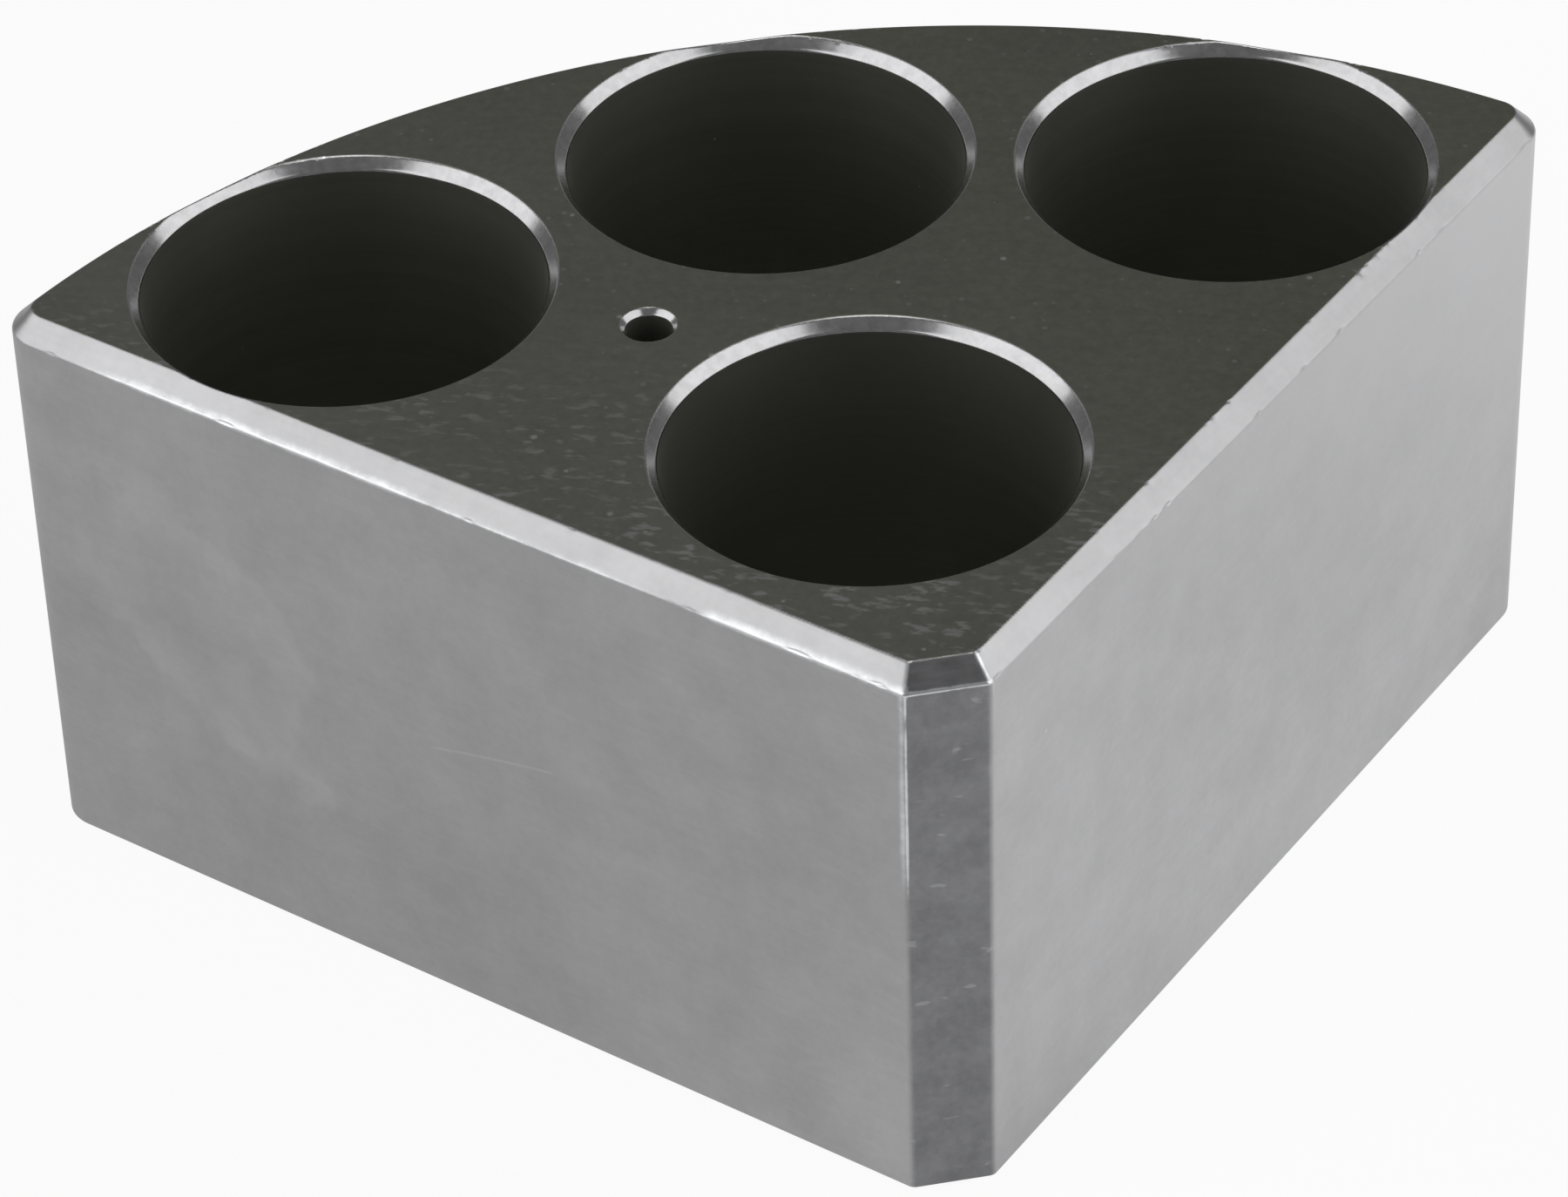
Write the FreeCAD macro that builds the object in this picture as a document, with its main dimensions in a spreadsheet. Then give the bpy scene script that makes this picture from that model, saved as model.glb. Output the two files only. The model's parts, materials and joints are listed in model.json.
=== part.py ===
import FreeCAD, Part
import Sketcher  # registers the sketch constraints
import os
from math import radians, sqrt

# A quarter-round heating block for lab vials, machined from one piece of aluminium.  Four such
# blocks stand together as a full disc on a round hotplate.  Each block holds flat-bottomed
# vials, one near the nose and the rest on a ring, and has a thin hole for a temperature probe.
#
# Body frame, in millimetres: the origin is the axis on which the four blocks of a set meet, at
# the height of the underside.  The two straight faces run from it at 45 degrees either side of
# +Y, the round face lies towards +Y, and the wells open upwards, towards +Z.

SIZES = {
    # the block
    "block_height": 44.5,
    "nose_leg": 4.0,          # leg of the flat cut where the straight faces would meet
    "corner_radius": 3.0,     # round down each outer corner
    "top_chamfer": 1.5,       # leg of the chamfer all round the top
    "base_break": 0.3,        # leg of the small break all round the underside
    # the vial wells
    "well_diameter": 28.0,
    "well_floor": 4.5,        # metal left under each well
    "rim_chamfer": 0.8,       # leg of the chamfer at each well's mouth
    "ring_wells": 3,
    "well_web": 4.2,          # metal between wells of the ring; each straight face halves one
    "round_wall": 1.8,        # metal between the ring's wells and the round face
    "inner_wall": 5.0,        # metal between the inner well and each straight face
    # the probe hole
    "probe_diameter": 3.2,
    "probe_floor": 14.5,      # metal left under the hole's straight part
    "probe_wall": 6.3,        # metal between the probe hole and the ring's last two wells
    "probe_chamfer": 0.4,     # leg of the chamfer at the hole's mouth
    "drill_point": 118.0,     # degrees
}

# Places worked out from the sizes, as expressions.  Angles are in degrees.
WELL_RADIUS = "Sizes.well_diameter / 2"
RING_STEP = "90 / Sizes.ring_wells"
HALF_PITCH = "(Sizes.well_diameter + Sizes.well_web) / 2"
RING_RADIUS = f"{HALF_PITCH} / sin({RING_STEP} / 2)"
OUTER_RADIUS = f"({RING_RADIUS} + {WELL_RADIUS} + Sizes.round_wall)"
NOSE_REACH = "Sizes.nose_leg / sqrt(2)"
INNER_RADIUS = f"({WELL_RADIUS} + Sizes.inner_wall) * sqrt(2)"
PROBE_TO_WELL = f"({WELL_RADIUS} + Sizes.probe_wall + Sizes.probe_diameter / 2)"
PROBE_RADIUS = (
    f"{HALF_PITCH} / tan({RING_STEP} / 2) - sqrt({PROBE_TO_WELL}^2 - ({HALF_PITCH})^2)"
)

FULL_COUNTERSINK = 90.0       # degrees across a mouth's chamfer, 45 degrees each side
WELL = {
    "Diameter": "Sizes.well_diameter",
    "Depth": "Sizes.block_height - Sizes.well_floor",
    "HoleCutDiameter": "Sizes.well_diameter + 2 * Sizes.rim_chamfer",
}
PROBE = {
    "Diameter": "Sizes.probe_diameter",
    "Depth": "Sizes.block_height - Sizes.probe_floor",
    "HoleCutDiameter": "Sizes.probe_diameter + 2 * Sizes.probe_chamfer",
    "DrillPointAngle": "Sizes.drill_point",
}

ROOT = (-1, 1)                # a sketch's own origin, as constraints name it
UP_AXIS = -2                  # a sketch's own upright axis
START, END, CENTRE = 1, 2, 3  # the points of a line or an arc
SAME = 1e-4                   # millimetres within which two heights are the same

doc = FreeCAD.newDocument("QuarterVialBlock")


def make_sizes():
    """The driving dimensions, one aliased cell each."""
    sheet = doc.addObject("Spreadsheet::Sheet", "Sizes")
    for row, (name, value) in enumerate(SIZES.items(), start=1):
        sheet.set(f"A{row}", name)
        sheet.set(f"B{row}", str(value))
        sheet.setAlias(f"B{row}", name)
    doc.recompute()


def make_sketch(body, name):
    """A sketch on the body's own level plane."""
    sketch = body.newObject("Sketcher::SketchObject", name)
    level = next(f for f in body.Origin.OriginFeatures if f.Role == "XY_Plane")
    sketch.AttachmentSupport = [(level, "")]
    sketch.MapMode = "FlatFace"
    return sketch


def constrain(sketch, kind, *where, size=None):
    """Adds a constraint; a size is an expression that keeps driving it."""
    if size is None:
        sketch.addConstraint(Sketcher.Constraint(kind, *where))
        return
    start = float(sketch.evalExpression(size))
    index = sketch.addConstraint(Sketcher.Constraint(kind, *where, start))
    sketch.setExpression(f"Constraints[{index}]", size)


def check_solved(sketch):
    """A sketch that is loose or contradictory stops the macro."""
    doc.recompute()
    if sketch.solve() != 0 or not sketch.FullyConstrained:
        raise RuntimeError(f"{sketch.Label} is not fully constrained")


def make_outline(body):
    """The block seen from above: the nose flat, two straight faces and the round face."""
    sketch = make_sketch(body, "Outline")
    radius = float(sketch.evalExpression(OUTER_RADIUS))
    nose = float(sketch.evalExpression(NOSE_REACH))
    corner = radius / sqrt(2)
    nose_left = FreeCAD.Vector(-nose, nose, 0)
    nose_right = FreeCAD.Vector(nose, nose, 0)
    corner_left = FreeCAD.Vector(-corner, corner, 0)
    corner_right = FreeCAD.Vector(corner, corner, 0)
    circle = Part.Circle(FreeCAD.Vector(), FreeCAD.Vector(0, 0, 1), radius)

    nose_line = sketch.addGeometry(Part.LineSegment(nose_left, nose_right))
    right_face = sketch.addGeometry(Part.LineSegment(nose_right, corner_right))
    round_face = sketch.addGeometry(Part.ArcOfCircle(circle, radians(45), radians(135)))
    left_face = sketch.addGeometry(Part.LineSegment(corner_left, nose_left))

    loop = [nose_line, right_face, round_face, left_face]
    for one, following in zip(loop, loop[1:] + loop[:1]):
        constrain(sketch, "Coincident", one, END, following, START)
    constrain(sketch, "Coincident", round_face, CENTRE, *ROOT)
    constrain(sketch, "Symmetric", nose_line, START, nose_line, END, UP_AXIS)
    constrain(sketch, "PointOnObject", *ROOT, right_face)
    constrain(sketch, "PointOnObject", *ROOT, left_face)
    constrain(sketch, "Perpendicular", right_face, left_face)
    constrain(sketch, "Radius", round_face, size=OUTER_RADIUS)
    constrain(sketch, "Distance", *ROOT, nose_line, END, size="Sizes.nose_leg")
    check_solved(sketch)
    return sketch


def is_level_at(edge, height):
    """True for an edge that lies wholly at one height."""
    box = edge.BoundBox
    return abs(box.ZMin - height) < SAME and abs(box.ZMax - height) < SAME


def is_outer_corner(edge):
    """True for an upright edge well away from the nose."""
    box = edge.BoundBox
    return box.ZLength > SAME and box.YMin > SIZES["nose_leg"]


def edge_names(feature, wanted):
    """Names of the edges of a feature's shape that pass a test."""
    return [f"Edge{i}" for i, edge in enumerate(feature.Shape.Edges, start=1) if wanted(edge)]


def check_cut(before, after):
    """Recomputes, and stops the macro when a cut took nothing away."""
    doc.recompute()
    if "Invalid" in after.State or after.Shape.Volume > before.Shape.Volume - SAME:
        raise RuntimeError(f"{after.Label} cut nothing")


def dress_edges(body, kind, name, before, wanted, size):
    """A chamfer or a fillet along the chosen edges of the feature before it."""
    dressed = body.newObject(f"PartDesign::{kind}", name)
    dressed.Base = (before, edge_names(before, wanted))
    dressed.setExpression("Radius" if kind == "Fillet" else "Size", size)
    check_cut(before, dressed)
    return dressed


def mark_centre(body, name, away, turn):
    """A sketch of one bore's centre on the top face.

    The sketch is turned about the set's axis, in degrees anticlockwise from the block's centre
    line, and the centre lies on the sketch's own upright axis.
    """
    sketch = make_sketch(body, name)
    sketch.setExpression("AttachmentOffset.Base.z", "Sizes.block_height")
    sketch.setExpression("AttachmentOffset.Rotation.Angle", turn)
    distance = float(sketch.evalExpression(away))
    centre = sketch.addGeometry(Part.Point(FreeCAD.Vector(0, distance, 0)))
    constrain(sketch, "PointOnObject", centre, START, UP_AXIS)
    constrain(sketch, "DistanceY", *ROOT, centre, START, size=away)
    check_solved(sketch)
    return sketch


def bore(body, name, before, centre, sizes):
    """A blind hole with a chamfered mouth, flat-bottomed unless it has a drill point."""
    hole = body.newObject("PartDesign::Hole", name)
    hole.Profile = centre
    hole.DepthType = "Dimension"
    hole.DrillPoint = "Angled" if "DrillPointAngle" in sizes else "Flat"
    hole.HoleCutType = "Countersink"
    hole.HoleCutCustomValues = True
    hole.HoleCutCountersinkAngle = FULL_COUNTERSINK
    for size, expression in sizes.items():
        hole.setExpression(size, expression)
    check_cut(before, hole)
    return hole


def repeat_round(body, name, original, axis):
    """The wells of the ring: the first one, patterned anticlockwise about the set's axis."""
    ring = body.newObject("PartDesign::PolarPattern", name)
    ring.Originals = [original]
    ring.Axis = axis
    ring.Mode = "Spacing"
    ring.setExpression("Offset", RING_STEP)
    ring.setExpression("Occurrences", "Sizes.ring_wells")
    body.Tip = ring
    check_cut(original, ring)
    return ring


def make_block():
    """The machined block: outline, edges, ring of wells, inner well and probe hole."""
    body = doc.addObject("PartDesign::Body", "VialBlock")
    body.Label = "vial_block"

    blank = body.newObject("PartDesign::Pad", "Blank")
    blank.Profile = make_outline(body)
    blank.setExpression("Length", "Sizes.block_height")
    doc.recompute()

    corners = dress_edges(body, "Fillet", "CornerRounds", blank, is_outer_corner,
                          "Sizes.corner_radius")
    top = dress_edges(body, "Chamfer", "TopChamfer", corners,
                      lambda edge: is_level_at(edge, SIZES["block_height"]), "Sizes.top_chamfer")
    base = dress_edges(body, "Chamfer", "BaseBreak", top,
                       lambda edge: is_level_at(edge, 0), "Sizes.base_break")

    first_centre = mark_centre(body, "FirstWellCentre", RING_RADIUS, f"{RING_STEP} / 2 - 45")
    first_well = bore(body, "FirstWell", base, first_centre, WELL)
    ring = repeat_round(body, "RingWells", first_well, (first_centre, ["N_Axis"]))
    inner_centre = mark_centre(body, "InnerWellCentre", INNER_RADIUS, "0")
    inner_well = bore(body, "InnerWell", ring, inner_centre, WELL)
    probe_centre = mark_centre(body, "ProbeCentre", PROBE_RADIUS, f"45 - {RING_STEP}")
    body.Tip = bore(body, "ProbeHole", inner_well, probe_centre, PROBE)

    body.setExpression("Placement.Base.y", f"-({OUTER_RADIUS} + {NOSE_REACH}) / 2")
    doc.recompute()
    return body


def check_part(body):
    """Stops the macro unless everything recomputed and the block is one sound solid."""
    for item in doc.Objects:
        if {"Invalid", "Error"}.intersection(item.State):
            raise RuntimeError(f"{item.Label} did not recompute")
    if body.Shape.isNull() or not body.Shape.isValid() or len(body.Shape.Solids) != 1:
        raise RuntimeError(f"{body.Label} is not one sound solid")


make_sizes()
block = make_block()
check_part(block)
os.makedirs("parts", exist_ok=True)
block.Shape.exportStep(f"parts/{block.Label}.step")
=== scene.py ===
import json
from math import asin, pi, radians, sqrt, tan

import bpy
import numpy as np
from bpy.props import FloatProperty, FloatVectorProperty, IntProperty, PointerProperty
from mathutils import Matrix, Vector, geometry


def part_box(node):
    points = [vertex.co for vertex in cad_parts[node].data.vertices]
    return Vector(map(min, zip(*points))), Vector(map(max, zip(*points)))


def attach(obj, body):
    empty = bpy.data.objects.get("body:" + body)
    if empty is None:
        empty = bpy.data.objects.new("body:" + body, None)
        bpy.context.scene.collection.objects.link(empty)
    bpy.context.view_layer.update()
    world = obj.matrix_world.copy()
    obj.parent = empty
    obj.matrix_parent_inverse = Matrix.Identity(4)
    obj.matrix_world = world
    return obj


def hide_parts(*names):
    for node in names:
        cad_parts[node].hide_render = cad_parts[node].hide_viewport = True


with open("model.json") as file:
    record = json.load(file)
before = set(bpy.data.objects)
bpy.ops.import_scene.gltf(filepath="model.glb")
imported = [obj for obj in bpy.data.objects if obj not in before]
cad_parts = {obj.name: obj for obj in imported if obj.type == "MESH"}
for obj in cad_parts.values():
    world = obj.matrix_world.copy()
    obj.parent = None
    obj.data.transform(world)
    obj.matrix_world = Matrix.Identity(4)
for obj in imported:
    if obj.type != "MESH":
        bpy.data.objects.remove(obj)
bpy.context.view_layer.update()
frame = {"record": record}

bl_info = {
    "name": "Vial Heating Block",
    "version": (1, 0, 0),
    "blender": (4, 5, 0),
    "location": "3D View > Sidebar > Vial Block",
    "description": "Builds a quarter-round machined heating block for vials, and a plain studio round it",
    "category": "Add Mesh",
}

MOUNTS = {mount["name"]: mount for mount in frame["record"]["mounts"]}
WELLS = [mount for name, mount in MOUNTS.items() if name.startswith("vial_well_")]
PROBE = MOUNTS["probe_hole"]
HALF = sqrt(0.5)
RIGHT_RUN, LEFT_RUN = np.array([HALF, HALF]), np.array([-HALF, HALF])      # along each side, away from the nose
RIGHT_OUT, LEFT_OUT = np.array([HALF, -HALF]), np.array([-HALF, -HALF])    # straight out of each side
WITHIN = 5e-6                                                              # keeps the outline inside the CAD's box
SIDE, TOP, RIM, BORE, BASE = range(5)                                      # the block's finishes, in slot order
WIDE_HOLE = 5e-3                     # a hole of a larger radius is a well
WELL_TURNS, PROBE_TURNS = 220, 48    # vertices round a well and round the probe hole
RIDGE_RAYS = 900                     # rays from a well's centre that look for its ridge
TOP_NICKS = 46                       # dents in the chamfer's upper edge
DRILL_HALF = radians(59)             # half the angle of a drill's point
ON_SIDE = 0.0395, 0.0402             # how far out, as x - y in metres, a point counts as on a flat side
WHITE_SEEN = 0.93                    # how white the floor is to the camera


class BlockSizes(bpy.types.PropertyGroup):
    """Sizes of the block's edges. Its overall size and its holes come from the frame."""

    nose_leg: FloatProperty(name="Nose leg", description="How far the nose flat cuts back each side",
                            default=0.004, unit="LENGTH", precision=5)
    corner_radius: FloatProperty(name="Corner radius", description="Upright corners at the ends of the round side",
                                 default=0.003, unit="LENGTH", precision=5)
    top_chamfer: FloatProperty(name="Top chamfer", description="Width and depth of the chamfer round the top",
                               default=0.0015, unit="LENGTH", precision=5)
    rim_chamfer: FloatProperty(name="Well rim chamfer", description="Width and depth of the chamfer at each well's mouth",
                               default=0.0008, unit="LENGTH", precision=5)
    probe_rim: FloatProperty(name="Probe rim chamfer", description="Width and depth of the chamfer at the probe hole",
                             default=0.0004, unit="LENGTH", precision=5)
    base_break: FloatProperty(name="Base break", description="Small chamfer round the underside",
                              default=0.0003, unit="LENGTH", precision=5)
    edge_blend: FloatProperty(name="Edge blend", description="Half the width over which a chamfer's edge is worn round",
                              default=0.00014, unit="LENGTH", precision=5)
    nose_round: FloatProperty(name="Nose edge radius", description="Radius of the two upright edges of the nose",
                              default=0.0007, unit="LENGTH", precision=5)
    floor_fillet: FloatProperty(name="Well floor fillet", description="Radius where a well's wall meets its floor",
                                default=0.0004, unit="LENGTH", precision=5)
    nick_depth: FloatProperty(name="Nick depth", description="Depth of the deepest nicks in the edges",
                              default=0.00011, unit="LENGTH", precision=5)
    nick_seed: IntProperty(name="Nick seed", description="Another number puts the nicks in other places", default=7)


class BlockFinish(bpy.types.PropertyGroup):
    """Colours and gloss of the machined faces."""

    side_colour: FloatVectorProperty(name="Sides", description="Milled and anodised sides and chamfers",
                                     default=(0.5, 0.5, 0.508), size=3, subtype="COLOR")
    # The nose is given a darker colour than the sides as painted shade; its finish is the same as theirs.
    nose_shaded_colour: FloatVectorProperty(name="Nose", description="Flat across the nose, less polished",
                                     default=(0.232, 0.233, 0.24), size=3, subtype="COLOR")
    # The top colour is darker than the sides', partly its own face-milled finish and partly painted shade.
    top_colour: FloatVectorProperty(name="Top", description="Face-milled top, slightly olive",
                                    default=(0.28, 0.285, 0.236), size=3, subtype="COLOR")
    # The wells' colour is darker than the sides' as painted shade in the recesses.
    shaded_bore_colour: FloatVectorProperty(name="Wells", description="Bored walls and floors",
                                     default=(0.33, 0.333, 0.293), size=3, subtype="COLOR")
    # The bare metal colour is also painted along the worn edges as highlight.
    bare_colour: FloatVectorProperty(name="Bare metal", description="Aluminium that shows where an edge is worn",
                                     default=(0.86, 0.87, 0.88), size=3, subtype="COLOR")
    gloss_spread: FloatProperty(name="Roughness", description="Roughness of the milled sides",
                                default=0.34, min=0.05, max=1.0, subtype="FACTOR")


class StageSettings(bpy.types.PropertyGroup):
    """Floor, lamps and camera."""

    floor_colour: FloatVectorProperty(name="Floor", description="Colour of the pale floor",
                                      default=(0.9, 0.9, 0.9), size=3, subtype="COLOR")
    mirror_left: FloatProperty(name="White mirrored left",
                               description="How white the floor left of the block is when mirrored",
                               default=0.2, min=0.0, max=1.0, subtype="FACTOR")
    left_shade: FloatProperty(name="Shade left", description="Colour of the floor left of the block, as a share of the rest",
                              default=0.8, min=0.0, max=1.0, subtype="FACTOR")
    mirror_right: FloatProperty(name="White mirrored right",
                                description="How white the floor right of the block is when mirrored",
                                default=0.53, min=0.0, max=1.0, subtype="FACTOR")
    surround: FloatProperty(name="Surround", description="Brightness of the room above the floor",
                            default=0.17, min=0.0, subtype="FACTOR")
    left_lamp: FloatProperty(name="Left softbox", description="Brightness of the left softbox", default=1.2, min=0.0)
    right_lamp: FloatProperty(name="Right softbox", description="Brightness of the right softbox", default=1.14, min=0.0)
    top_lamp: FloatProperty(name="Overhead softbox", description="Brightness of the overhead softbox",
                            default=2.5, min=0.0)
    camera_place: FloatVectorProperty(name="Camera place", description="Where the camera stands",
                                      default=(-0.063653, -0.337437, 0.293899), size=3, subtype="XYZ", unit="LENGTH")
    camera_turn: FloatVectorProperty(name="Camera turn", description="How the camera is turned",
                                     default=(radians(51.54893), radians(1.44799), radians(-11.24045)),
                                     size=3, subtype="EULER", unit="ROTATION")
    camera_lens: FloatProperty(name="Lens", description="Focal length in millimetres", default=144.288, min=1.0)


# ---------------------------------------------------------------- shapes

def larger(a, b, blend):
    """The larger of two numbers. Where they differ by less than blend, a parabola joins them, at most blend / 4 above."""
    return np.maximum(a, b) + blend / 4 * np.clip(1 - np.abs(a - b) / blend, 0, None) ** 2


def straight(start, end, count):
    """count points from start towards end, which is left for the next stretch."""
    return start + np.linspace(0, 1, count, endpoint=False)[:, None] * (end - start)


def arc(centre, radius, start, end, count):
    """count points of centre + radius (cos t, sin t), t going from start towards end in radians."""
    turn = np.linspace(start, end, count, endpoint=False)
    return centre + radius * np.stack([np.cos(turn), np.sin(turn)], 1)


class Plan:
    """The block seen from above: its closed outline, its holes, and how far any point is inside them."""

    STRETCHES = (16, 8, 236, 14, 190, 14, 236, 8)    # nose, edge, right side, corner, round side, corner, left side, edge

    def __init__(self, sizes):
        self.sizes = sizes
        low, high = (np.array(corner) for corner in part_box("vial_block"))
        self.height = high[2]
        self.reach = sizes.nose_leg * HALF
        self.centre = np.array([0.0, low[1] - self.reach])      # the two sides would meet here
        self.radius = high[1] - self.centre[1]
        self.start = self.path(0.0)
        self.inwards = (self.path(0.001) - self.start) / 0.001
        self.count = len(self.start)
        step = np.linalg.norm(np.roll(self.start, -1, 0) - self.start, axis=1)
        self.along = np.concatenate([[0], np.cumsum(step)[:-1]])    # distance run from the left end of the nose flat
        self.kinds = np.repeat(np.arange(8), self.STRETCHES)

    def path(self, inset):
        """The outline drawn inset inside the sides, anticlockwise from the left end of the nose flat.

        The nose flat is y = reach + inset. Each side is the line at 45 degrees whose distance inwards is inset, and
        the round side is the circle of radius R - inset. Arcs of nose_round join the nose to the sides, at every
        inset the same. Arcs of corner_radius - inset join the sides to the circle, about one fixed centre each.
        Every point moves in a straight line as inset grows, so the path is start + inset * inwards."""
        sizes, radius = self.sizes, self.radius
        deep = inset + sizes.nose_round
        hub = np.array([self.reach - (sqrt(2) - 1) * deep, self.reach + deep])
        fillet = sizes.corner_radius
        run = sqrt((radius - fillet) ** 2 - fillet ** 2)
        corner = RIGHT_RUN * run - RIGHT_OUT * fillet
        swing = pi / 4 + asin(fillet / (radius - fillet))
        mirror = np.array([-1, 1])
        nose_end = np.array([hub[0], self.reach + inset])
        side_start = hub + RIGHT_OUT * sizes.nose_round
        side_end = corner + RIGHT_OUT * (fillet - inset)
        a, b, c, d, e, f, g, h = self.STRETCHES
        return self.centre + np.concatenate([
            straight(nose_end * mirror, nose_end, a),
            arc(hub, sizes.nose_round, -pi / 2, -pi / 4, b),
            straight(side_start, side_end, c),
            arc(corner, fillet - inset, -pi / 4, swing, d),
            arc(np.zeros(2), radius - inset, swing, pi - swing, e),
            arc(corner * mirror, fillet - inset, pi - swing, pi * 1.25, f),
            straight(side_end * mirror, side_start * mirror, g),
            arc(hub * mirror, sizes.nose_round, pi * 1.25, pi * 1.5, h)])

    def inset_of(self, points):
        """Distance inside the nearest of the two sides, the nose flat and the round side."""
        p = points - self.centre
        return np.minimum.reduce([-p @ RIGHT_OUT, -p @ LEFT_OUT, p[:, 1] - self.reach,
                                  self.radius - np.linalg.norm(p, axis=1)])

    def holes(self):
        """Centre, radius, rim chamfer and blend of each hole, the wells first."""
        sizes = self.sizes
        wells = [(np.array(m["pos_m"][:2]), m["dims"]["r_mm"] / 1000, sizes.rim_chamfer, sizes.edge_blend) for m in WELLS]
        return wells + [(np.array(PROBE["pos_m"][:2]), PROBE["dims"]["r_mm"] / 1000, sizes.probe_rim, sizes.edge_blend / 2)]

    def depth(self, points, inset):
        """How far the top lies below the block's height.

        It is the larger of three depths: none on the flat, chamfer - inset on the outer chamfer, and
        radius + rim - distance on the cone at a hole's mouth. Where two meet, the blend wears the edge round, also
        on the ridge left where a well's mouth breaks through the outer chamfer."""
        depth = larger(0.0, self.sizes.top_chamfer - inset, self.sizes.edge_blend)
        for centre, radius, rim, blend in self.holes():
            depth = larger(depth, radius + rim - np.linalg.norm(points - centre, axis=1), blend)
        return depth


class Mesh:
    """Vertices and faces gathered from several sheets that share their border points."""

    def __init__(self):
        self.points, self.quads, self.triangles, self.size = [], [], [], 0

    def add(self, points):
        """Keeps these vertices, and returns their numbers."""
        points = np.asarray(points, float)
        numbers = self.size + np.arange(len(points))
        self.points.append(points)
        self.size += len(points)
        return numbers

    def band(self, rings, finish):
        """Quads between each closed ring of vertex numbers and the next; outwards is right of the way they run."""
        low, high = rings[:-1], rings[1:]
        faces = np.stack([low, np.roll(low, -1, 1), np.roll(high, -1, 1), high], 2).reshape(-1, 4)
        self.quads.append((faces, np.broadcast_to(finish, low.shape).reshape(-1)))

    def fan(self, ring, tip, finish):
        """Triangles from a closed ring to one point."""
        faces = np.stack([ring, np.roll(ring, -1), np.full(len(ring), tip)], 1)
        self.triangles.append((faces, np.full(len(ring), finish)))

    def build(self, name):
        """Makes the Blender mesh, with each vertex normal the sum of its faces' normals, each as long as its area."""
        points = np.concatenate(self.points)
        quads, quad_finish = (np.concatenate(part) for part in zip(*self.quads))
        triangles, finish = (np.concatenate(part) for part in zip(*self.triangles))
        mesh = bpy.data.meshes.new(name)
        mesh.from_pydata(points.tolist(), [], quads.tolist() + triangles.tolist())
        mesh.polygons.foreach_set("material_index", np.concatenate([quad_finish, finish]).astype(np.int32))
        mesh.polygons.foreach_set("use_smooth", np.ones(len(mesh.polygons), bool))
        halves = np.concatenate([quads[:, [0, 1, 2]], quads[:, [0, 2, 3]], triangles])
        corner = points[halves]
        normal = np.cross(corner[:, 1] - corner[:, 0], corner[:, 2] - corner[:, 0])
        total = np.zeros_like(points)
        for k in range(3):
            np.add.at(total, halves[:, k], normal)
        total /= np.maximum(np.linalg.norm(total, axis=1), 1e-30)[:, None]
        mesh.update()
        mesh.normals_split_custom_set_from_vertices(total.tolist())
        return mesh


def spread(numbers, low, high):
    """Random numbers from 0..1 scaled to low..high."""
    return low + numbers * (high - low)


def upright_nicks(plan, along, height, seed):
    """Dents in the upright faces: each is depth * exp(-(distance along / length)^2 - (distance up / tall)^2).

    Most lie on the chamfer's lower edge, the rest on the nose's two upright edges."""
    dice = np.random.default_rng(seed)
    edge = plan.height - plan.sizes.top_chamfer
    starts = np.concatenate([[0], np.cumsum(plan.STRETCHES)[:-1]])
    nose_right, nose_left = plan.along[starts[1] + 4], plan.along[starts[7] + 4]
    side_right = plan.along[starts[2]], plan.along[starts[3]]
    side_left = plan.along[starts[6]], plan.along[starts[7]]
    near = plan.along[starts[7]] - 0.017
    marks = []
    for low, high, count in ((*side_right, 22), (*side_left, 22), (near, side_left[1], 16)):
        marks.append(np.stack([spread(dice.random(count), low, high), np.full(count, edge),
                               spread(dice.random(count), 2e-4, 8e-4), spread(dice.random(count), 1e-4, 2e-4),
                               dice.random(count) ** 2], 1))
    for place, count in ((nose_right, 12), (nose_left, 20)):
        marks.append(np.stack([np.full(count, place), spread(dice.random(count), 0.002, edge),
                               spread(dice.random(count), 1.5e-4, 3e-4), spread(dice.random(count), 3e-4, 1.4e-3),
                               dice.random(count) ** 2], 1))
    at, up, length, tall, size = np.concatenate(marks).T[:, :, None, None]
    dents = size * np.exp(-((along - at) / length) ** 2 - ((height - up) / tall) ** 2)
    return plan.sizes.nick_depth * np.minimum(dents.sum(0), 1.0)


def plan_nicks(plan, points, seed):
    """Dents seen from above, on the chamfer's upper edge: depth * exp(-(distance / width)^2)."""
    dice = np.random.default_rng(seed + 1)
    ring = plan.start + plan.sizes.top_chamfer * plan.inwards
    fronts = np.flatnonzero(np.isin(plan.kinds, (0, 1, 2, 6, 7)))
    spots = ring[dice.choice(fronts, TOP_NICKS)]
    width = spread(dice.random(TOP_NICKS), 1.2e-4, 3.5e-4)
    gap = np.linalg.norm(points[:, None] - spots[None], axis=2)
    dents = (dice.random(TOP_NICKS) ** 2 * np.exp(-(gap / width) ** 2)).sum(1)
    return plan.sizes.nick_depth * 0.7 * np.minimum(dents, 1.0)


def ridge_rows(plan, centre, reach, border):
    """Points along the ridge where one well's rim cone meets the outer chamfer, and on both sides of it.

    On a ray from the well's centre the rim's depth less the chamfer's falls steadily, so halving the stretch between
    the border and the rim's edge finds where the two are equal. Rays with no such place give nothing."""
    turn = np.linspace(0, 2 * pi, RIDGE_RAYS, endpoint=False)
    ray = np.stack([np.cos(turn), np.sin(turn)], 1)

    def excess(r):
        return (reach - r) - (plan.sizes.top_chamfer - plan.inset_of(centre + ray * r[:, None]))

    low, high = np.full(RIDGE_RAYS, border), np.full(RIDGE_RAYS, reach + 1e-4)
    crosses = (excess(low) > 0) & (excess(high) < 0)
    for _ in range(30):
        middle = (low + high) / 2
        beyond = excess(middle) > 0
        low, high = np.where(beyond, middle, low), np.where(beyond, high, middle)
    shifts = np.array([-1.6, -0.9, -0.45, 0, 0.45, 0.9, 1.6]) * plan.sizes.edge_blend
    rows = centre + ray[crosses][:, None] * (low[crosses][:, None] + shifts)[:, :, None]
    return rows.reshape(-1, 2)


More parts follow.
